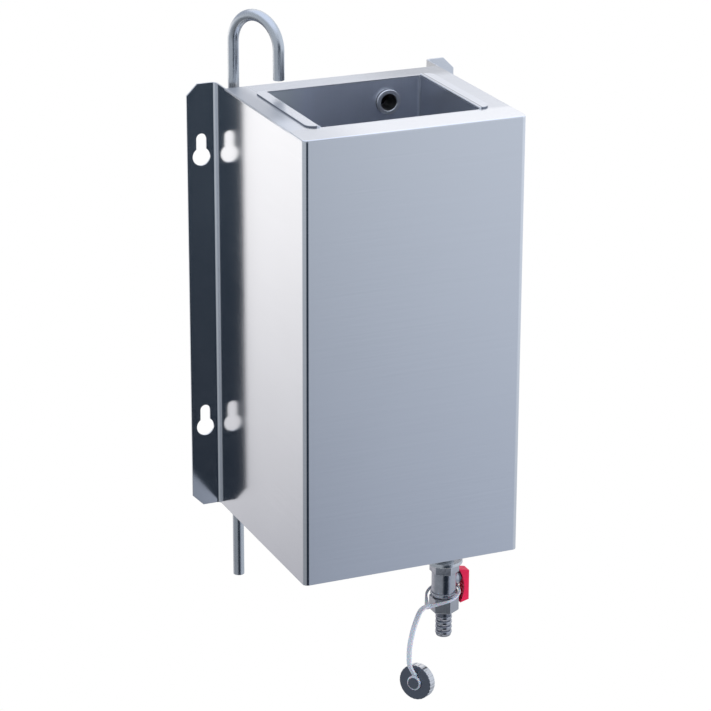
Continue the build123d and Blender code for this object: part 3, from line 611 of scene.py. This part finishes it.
red_polyamide = moulded("red_polyamide", (0.88, 0.008, 0.080), 0.50, 2200.0, coat=0.04)
strap_plastic = moulded("strap_plastic", (0.55, 0.585, 0.65), 0.42, 1500.0, scatter=0.25)
black_rubber = moulded("black_rubber", (0.022, 0.022, 0.024), 0.62, 1700.0)
seat_plastic = moulded("seat_plastic", (0.80, 0.79, 0.76), 0.45, 1300.0, scatter=0.2)
foam = moulded("rigid_foam", (0.72, 0.62, 0.36), 0.85, 700.0)
give(red_polyamide, "valve_handle")
give(strap_plastic, "cap_strap")
give(black_rubber, "overflow_gasket", "tail_gasket", "cap_gasket")
give(seat_plastic, "upper_ball_seat", "lower_ball_seat", "stem_packing")
give(foam, *(name for name in nodes if name.startswith("insulation_")))
print("finishes", len(finishes), "of", len(nodes))

# %% Put the finishes on
for name, node in nodes.items():
    node.data.materials.clear()
    node.data.materials.append(finishes[name])
print("dressed", len(nodes))

# %% [markdown]
# ## Edges that catch light
# CAD edges are perfectly sharp and never shine. Real sheet is deburred and real castings are tumbled, so each
# edge is a thin bright or dark line. A shader can fake it on flat-lit edges only. A Bevel modifier makes it as
# geometry. The CAD mesh is loose triangles, so a Weld modifier joins them first, and Weighted Normal keeps the
# large faces flat afterwards. Modifiers leave the CAD mesh itself alone.

# %% Bevels on the CAD parts
mm = 0.001
edge_widths = {
    0.25: ["outer_shell", "rear_panel", "bottom_panel", "inlet_clip_upper", "inlet_clip_lower", "overflow_clip"],
    0.2: ["inner_tank", "inlet_pipe", "overflow_pipe", "drain_collar", "gland_nut", "clip_nuts"],
    0.3: ["valve_body", "valve_end_piece", "union_nut", "hose_tail", "outlet_cap", "cap_strap"],
    0.5: ["overflow_bush"],
}
bevel_angle = math.radians(32)


def round_edges(piece, width):
    """Weld, bevel and weighted normals, for a width in mm."""
    weld = piece.modifiers.new("weld", "WELD")
    weld.merge_threshold = 0.002 * mm
    bevel = piece.modifiers.new("bevel", "BEVEL")
    bevel.width = width * mm
    bevel.segments = 2
    bevel.limit_method = "ANGLE"
    bevel.angle_limit = bevel_angle
    bevel.loop_slide = False
    normals = piece.modifiers.new("normals", "WEIGHTED_NORMAL")
    normals.weight = 100
    normals.keep_sharp = False


for width, names in edge_widths.items():
    for name in names:
        round_edges(nodes[name], width)
print("bevelled", sum(len(names) for names in edge_widths.values()))

# %% [markdown]
# ## Geometry Nodes for threads, weld beads and ribs
# A screw thread, a run of weld and a row of ribs are each one small shape that follows a path. Modelling every
# turn or ripple by hand would be slow and uneven, so a Geometry Nodes tree makes each of them from a few named
# sizes. One helper starts a tree with those names and another ends it. A third runs it and keeps the result as a
# plain mesh, which needs no modifier any more.

# %% Helpers for the trees
def geometry_tree(name, labels):
    """An empty tree with a path and named sizes. Gives the tree, the path and the sizes as wires."""
    group = bpy.data.node_groups.new(name, "GeometryNodeTree")
    tree = Tree(group)
    group.interface.new_socket("Path", in_out="INPUT", socket_type="NodeSocketGeometry")
    for label in labels:
        group.interface.new_socket(label, in_out="INPUT", socket_type="NodeSocketFloat")
    group.interface.new_socket("Finish", in_out="INPUT", socket_type="NodeSocketMaterial")
    group.interface.new_socket("Geometry", in_out="OUTPUT", socket_type="NodeSocketGeometry")
    path, *sizes = tree.outputs(tree.add("NodeGroupInput"), "Path", *labels, "Finish")
    return tree, path, dict(zip([*labels, "Finish"], sizes))


def end_tree(tree, geometry, finish):
    """Realize the instances and set the material, because an export drops instances."""
    real = tree.add("GeometryNodeRealizeInstances", {}, {0: geometry})
    dressed = tree.add("GeometryNodeSetMaterial", {}, {"Geometry": real, "Material": finish})
    tree.add("NodeGroupOutput", {}, {"Geometry": dressed})


def shown(name, mesh):
    piece = bpy.data.objects.new(name, mesh)
    bpy.context.scene.collection.objects.link(piece)
    return piece


def grown(name, tree, sizes, finish, path=None, place=None):
    """Run a tree, and keep its result as a plain mesh at its place."""
    carrier = shown(name + "_path", path or bpy.data.meshes.new(name + "_path"))
    modifier = carrier.modifiers.new("grow", "NODES")
    modifier.node_group = tree.node_tree
    items = tree.node_tree.interface.items_tree
    sockets = {item.name: item.identifier for item in items if item.in_out == "INPUT"}
    for label, value in {**sizes, "Finish": finish}.items():
        modifier[sockets[label]] = value
    mesh = bpy.data.meshes.new_from_object(carrier.evaluated_get(bpy.context.evaluated_depsgraph_get()))
    bpy.data.objects.remove(carrier)
    mesh.transform(place or Matrix.Identity(4))
    return shown(name, mesh)


def measured(piece):
    print(piece.name, len(piece.data.polygons), "faces")


# %% [markdown]
# ## Threads
# A thread is a ridge wound on a cylinder. A Screw modifier would wind it too, but only with sizes typed in anew for
# each one. A spiral with equal radii is the helix, and a three-cornered profile drawn along it is the ridge. The
# same tree winds the outlet's thread, which shows when the union nut is undone, the thread inside the cap, and the
# ends of the clip studs behind the cabinet.

# %% Thread tree
helix_resolution = 32
thread_tree, _, size = geometry_tree("thread", ["Radius", "Pitch", "Length", "Depth"])
helix_inputs = {
    "Resolution": helix_resolution,
    "Rotations": size["Length"] / size["Pitch"],
    "Start Radius": size["Radius"],
    "End Radius": size["Radius"],
    "Height": size["Length"],
}
helix = thread_tree.add("GeometryNodeCurveSpiral", {}, helix_inputs)
ridge = thread_tree.add("GeometryNodeCurvePrimitiveCircle", {}, {"Resolution": 3, "Radius": size["Depth"]})
wound = thread_tree.add("GeometryNodeCurveToMesh", {}, {0: helix, 1: ridge, "Fill Caps": True})
end_tree(thread_tree, wound, size["Finish"])
print("thread tree nodes", len(thread_tree.node_tree.nodes))

# %% Threads of the outlet and the cap
pipe_pitch = 1.814 * mm
outlet_lip = -0.2642
outlet_sizes = {"Radius": 10.3 * mm, "Pitch": pipe_pitch, "Length": 5.6 * mm, "Depth": 0.3 * mm}
outlet_place = Matrix.Translation((*drain_axis, outlet_lip))
outlet_thread = grown("outlet_thread", thread_tree, outlet_sizes, machined_nickel, place=outlet_place)
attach(outlet_thread, "cabinet")
measured(outlet_thread)

cap_depth = 9.3 * mm
cap_across = Vector((0.559193, -0.829038, 0.0))
cap_turn = Matrix((cap_across, cap_out.cross(cap_across), cap_out)).transposed().to_4x4()
cap_mouth = Matrix.Translation(cap_place - cap_out * cap_depth) @ cap_turn
cap_sizes = {"Radius": 10.4 * mm, "Pitch": pipe_pitch, "Length": 4.4 * mm, "Depth": 0.5 * mm}
cap_thread = grown("cap_thread", thread_tree, cap_sizes, machined_nickel, place=cap_mouth)
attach(cap_thread, "outlet_cap")
measured(cap_thread)

# %% Threads of the clip studs
# The y where each thread starts, and the x and z of each stud on the rear panel.
stud_start = -0.0207
stud_places = {"inlet_upper": (-0.07425, 0.1354), "inlet_lower": (-0.07425, -0.1376), "overflow": (0.0598, -0.044)}
stud_sizes = {"Radius": 2.0 * mm, "Pitch": 0.7 * mm, "Length": 2.6 * mm, "Depth": 0.17 * mm}
for label, (stud_x, stud_z) in stud_places.items():
    stud_place = Matrix.Translation((stud_x, stud_start, stud_z)) @ Matrix.Rotation(-math.pi / 2, 4, "X")
    stud = grown("stud_thread_" + label, thread_tree, stud_sizes, zinc, place=stud_place)
    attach(stud, "cabinet")
    measured(stud)

# %% [markdown]
# ## Weld beads
# The rear and bottom panels are let into the folded sheet and held by short runs of weld. Each run is a row of
# ripples, one for each time the welder's drop froze. A bump could draw them, but it stays flat at the silhouette
# and in the mesh. So points along the path carry a small flattened ball, turned with the path and a little
# different in size each time, by a random value with a fixed seed. The path lies just inside the sheet, so only
# the crown of the bead stands out.

# %% Weld tree
weld_tree, path, size = geometry_tree("weld_bead", ["Pitch", "Radius"])
run = weld_tree.add("GeometryNodeMeshToCurve", {}, {0: path})
spots = weld_tree.add("GeometryNodeCurveToPoints", {"mode": "LENGTH"}, {"Curve": run, "Length": size["Pitch"]})
turns = weld_tree.outputs(spots, "Rotation")[0]
ripple = weld_tree.add("GeometryNodeMeshUVSphere", {}, {"Segments": 10, "Rings": 6, "Radius": size["Radius"]})
soft_ripple = weld_tree.add("GeometryNodeSetShadeSmooth", {}, {0: ripple})
swing = weld_tree.add("FunctionNodeRandomValue", {"data_type": "FLOAT"}, {2: 0.86, 3: 1.08, "Seed": 5}, output=1)
flattened = weld_tree.add("ShaderNodeCombineXYZ", {}, {0: swing, 1: swing, 2: swing * 0.7})
bead_inputs = {"Points": spots, "Instance": soft_ripple, "Rotation": turns, "Scale": flattened}
beads = weld_tree.add("GeometryNodeInstanceOnPoints", {}, bead_inputs)
end_tree(weld_tree, beads, size["Finish"])
weld_steel = drawn("weld_bead", (0.60, 0.62, 0.66), 0.34, 7.0)
print("weld tree nodes", len(weld_tree.node_tree.nodes))

# %% Weld runs on the rear and bottom panels
run_length = 18 * mm
bead_radius = 1.5 * mm
bead_rise = 0.5 * mm
bead_pitch = 1.3 * mm
seam_inset = 0.3 * mm
rear_inset = 1.5 * mm
rear_run_count = 6
base_run_count = 3


def runs(start, end, count):
    """Pairs of places: short runs spread evenly from start to end."""
    step = (end - start) / count
    half_run = step.normalized() * run_length / 2
    middles = [start + step * (index + 0.5) for index in range(count)]
    return [(place - half_run, place + half_run) for place in middles]


rear_low, rear_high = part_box("rear_panel")
base_low, base_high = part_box("bottom_panel")
rear_y = rear_low[1] + rear_inset
under_z = base_low[2] + bead_radius - bead_rise
weld_runs = []
for side in (-1, 1):
    rear_x = side * (rear_high[0] - seam_inset)
    weld_runs += runs(Vector((rear_x, rear_y, rear_low[2])), Vector((rear_x, rear_y, rear_high[2])), rear_run_count)
for base_x in (base_low[0] + seam_inset, base_high[0] - seam_inset):
    ends = Vector((base_x, base_low[1], under_z)), Vector((base_x, base_high[1], under_z))
    weld_runs += runs(*ends, base_run_count)
for base_y in (base_low[1] + seam_inset, base_high[1] - seam_inset):
    ends = Vector((base_low[0], base_y, under_z)), Vector((base_high[0], base_y, under_z))
    weld_runs += runs(*ends, base_run_count)
run_mesh = bpy.data.meshes.new("weld_runs")
run_ends = [place for pair in weld_runs for place in pair]
run_mesh.from_pydata(run_ends, [(2 * index, 2 * index + 1) for index in range(len(weld_runs))], [])
weld_sizes = {"Pitch": bead_pitch, "Radius": bead_radius}
welds = grown("panel_welds", weld_tree, weld_sizes, weld_steel, path=run_mesh)
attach(welds, "cabinet")
measured(welds)

# %% [markdown]
# ## The lever
# The real lever is one moulding in red plastic, shaped like a trough. Two cheeks reach in beside the valve, dip
# at the waist to clear the gland, and are joined by a web on the outside, with ribs and a square hub in the
# hollow. A solid block with a dent would look right only from far away. So a plate with the outline of the cheek
# is cut by a pocket and a square hole, the hub is added, and the ribs come from a small tree. The next cell holds
# what that needs: a plate with any outline, a turned body, and the cut, which a Boolean modifier makes.

# %% Helpers for cut solids
def closed_mesh(name, points, faces):
    shape = bmesh.new()
    corners = [shape.verts.new(point) for point in points]
    for face in faces:
        shape.faces.new([corners[index] for index in face])
    bmesh.ops.recalc_face_normals(shape, faces=shape.faces)
    mesh = bpy.data.meshes.new(name)
    shape.to_mesh(mesh)
    shape.free()
    return mesh


def slab(outline, low, high):
    """A plate with an outline of (x, z) places, between two levels of y."""
    count = len(outline)
    points = [(x, y, z) for y in (low, high) for x, z in outline]
    sides = [(index, (index + 1) % count, (index + 1) % count + count, index + count) for index in range(count)]
    return closed_mesh("slab", points, [range(count), range(2 * count - 1, count - 1, -1), *sides])


def turned(profile, steps=48):
    """A turned body about X. profile gives (x, radius) and starts and ends on the axis."""
    rings = profile[1:-1]
    angles = [math.tau * step / steps for step in range(steps)]
    points = [(x, radius * math.cos(angle), radius * math.sin(angle)) for x, radius in rings for angle in angles]
    points += [(profile[0][0], 0, 0), (profile[-1][0], 0, 0)]
    start, end = len(points) - 2, len(points) - 1
    last = (len(rings) - 1) * steps
    faces = []
    for step in range(steps):
        beside = (step + 1) % steps
        faces.append((start, step, beside))
        faces.append((end, last + beside, last + step))
        for ring in range(0, last, steps):
            faces.append((ring + step, ring + beside, ring + beside + steps, ring + step + steps))
    return closed_mesh("turned", points, faces)


def without(solid, *cutters):
    """The solid with the cutters taken away."""
    body = shown("solid", solid)
    tools = [shown("cutter", cutter) for cutter in cutters]
    for tool in tools:
        cut = body.modifiers.new("cut", "BOOLEAN")
        cut.solver = "EXACT"
        cut.object = tool
    mesh = bpy.data.meshes.new_from_object(body.evaluated_get(bpy.context.evaluated_depsgraph_get()))
    for item in (body, *tools):
        bpy.data.objects.remove(item)
    return mesh


def joined(name, meshes, place, finish):
    """Several meshes as one piece at its place, in one finish."""
    shape = bmesh.new()
    for mesh in meshes:
        shape.from_mesh(mesh)
    mesh = bpy.data.meshes.new(name)
    shape.to_mesh(mesh)
    shape.free()
    mesh.materials.append(finish)
    mesh.shade_smooth()
    mesh.transform(place)
    return shown(name, mesh)


# %% Cheeks, web and hub of the lever
# The sizes of the lever and its screw are measured from the centre of the valve's ball.
ball_centre = Vector((*drain_axis, -0.241))
cheek_top = (12.1 * mm, 8.8 * mm)
cheek_foot = (13.8 * mm, -23.6 * mm)
waist_dip = 4.25 * mm
lever_out = 22.0 * mm
end_slope = 2.2 * mm
lever_half = 5.0 * mm
cheek_thickness = 1.4 * mm
web_inside = 18.6 * mm
pocket_mouth = 5.0 * mm
pocket_bevel = 1.0 * mm
square_half = 1.75 * mm
hub_radius = 4.5 * mm
hub_inside = 15.35 * mm
hub_sunk = 0.2 * mm
arc_steps = 20

cheek_outline = [(lever_out, cheek_foot[1] + end_slope), (lever_out, cheek_top[1] - end_slope)]
for step in range(arc_steps + 1):
    share = step / arc_steps
    dip = waist_dip * (1 - (2 * share - 1) ** 2)
    edge_x, edge_z = (top + (foot - top) * share for top, foot in zip(cheek_top, cheek_foot))
    cheek_outline.append((edge_x + dip, edge_z))
pocket_half = lever_half - cheek_thickness
pocket_low, pocket_high = cheek_foot[1] + cheek_thickness, cheek_top[1] - cheek_thickness
pocket_outline = [
    (pocket_mouth, pocket_low),
    (web_inside - pocket_bevel, pocket_low),
    (web_inside, pocket_low + pocket_bevel),
    (web_inside, pocket_high - pocket_bevel),
    (web_inside - pocket_bevel, pocket_high),
    (pocket_mouth, pocket_high),
]
square_ends = (10 * mm, 30 * mm)
square = [(square_ends[0], -square_half), (square_ends[1], -square_half)]
square += [(square_ends[1], square_half), (square_ends[0], square_half)]
square_hole = slab(square, -square_half, square_half)
pocket = slab(pocket_outline, -pocket_half, pocket_half)
cheeks = without(slab(cheek_outline, -lever_half, lever_half), pocket, square_hole)
hub_end = web_inside + hub_sunk
hub = without(turned([(hub_inside, 0), (hub_inside, hub_radius), (hub_end, hub_radius), (hub_end, 0)]), square_hole)
print("lever faces", len(cheeks.polygons), "hub faces", len(hub.polygons))

# %% [markdown]
# ## Ribs in the lever's hollow
# Ribs keep the thin web from bending under the thumb. They are alike and evenly spaced, so a line of points
# carries one small block for each of them. Their ends run into the cheeks, so that no gap shows beside them.

# %% Rib tree and the finished lever
rib_tree, _, size = geometry_tree("rib_row", ["Count", "Pitch", "Thickness", "Width", "Height"])
rib_step = rib_tree.add("ShaderNodeCombineXYZ", {}, {2: size["Pitch"] * -1.0})
rib_places = rib_tree.add("GeometryNodeMeshLine", {}, {"Count": size["Count"], "Offset": rib_step})
rib_size = rib_tree.add("ShaderNodeCombineXYZ", {}, {0: size["Height"], 1: size["Width"], 2: size["Thickness"]})
rib = rib_tree.add("GeometryNodeMeshCube", {}, {"Size": rib_size})
rib_row = rib_tree.add("GeometryNodeInstanceOnPoints", {}, {"Points": rib_places, "Instance": rib})
end_tree(rib_tree, rib_row, size["Finish"])

rib_width = 2 * pocket_half + 0.4 * mm
rib_sizes = {"Count": 4.0, "Pitch": 4.2 * mm, "Thickness": 1.0 * mm, "Width": rib_width, "Height": 1.6 * mm}
rib_start = Matrix.Translation((web_inside - 0.6 * mm, 0, -7.6 * mm))
ribs = grown("lever_ribs", rib_tree, rib_sizes, red_polyamide, place=rib_start)
lever = joined("lever_moulding", [cheeks, hub, ribs.data], Matrix.Translation(ball_centre), red_polyamide)
bpy.data.objects.remove(ribs)
round_edges(lever, 0.35)
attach(lever, "handle")
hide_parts("valve_handle")
measured(lever)

# %% [markdown]
# ## The lever's screw
# A pan-head screw holds the lever on the stem. The CAD screw has a plain head. A cross painted on it would show no
# depth, so its head is turned again from a profile, and two thin plates cut the recess.

# %% Screw
# Pairs of a place along the screw and its radius there, in millimetres, from the shank's end to the head.
screw_profile = [(15.0, 0), (15.0, 1.1), (15.3, 1.3), (22.0, 1.3), (22.0, 2.9), (22.2, 3.0), (22.7, 2.95)]
screw_profile += [(23.2, 2.6), (23.6, 1.9), (23.8, 0.9), (23.8, 0)]
screw_body = turned([(x * mm, radius * mm) for x, radius in screw_profile])
recess_floor = 22.8 * mm
recess_end = 25 * mm
recess_half = 1.5 * mm
recess_width = 0.42 * mm


def recess_plate(half_z, half_y):
    """One arm of the cross recess."""
    outline = [(recess_floor, -half_z), (recess_end, -half_z), (recess_end, half_z), (recess_floor, half_z)]
    return slab(outline, -half_y, half_y)


arms = recess_plate(recess_half, recess_width), recess_plate(recess_width, recess_half)
screw = joined("lever_screw", [without(screw_body, *arms)], Matrix.Translation(ball_centre), zinc)
round_edges(screw, 0.08)
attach(screw, "handle")
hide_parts("handle_screw")
measured(screw)

# %% [markdown]
# ## Colour view
# The Standard view shows each colour about as it is written, where the default one would grey the white backdrop.

# %% Colour view
bpy.context.scene.view_settings.view_transform = "Standard"
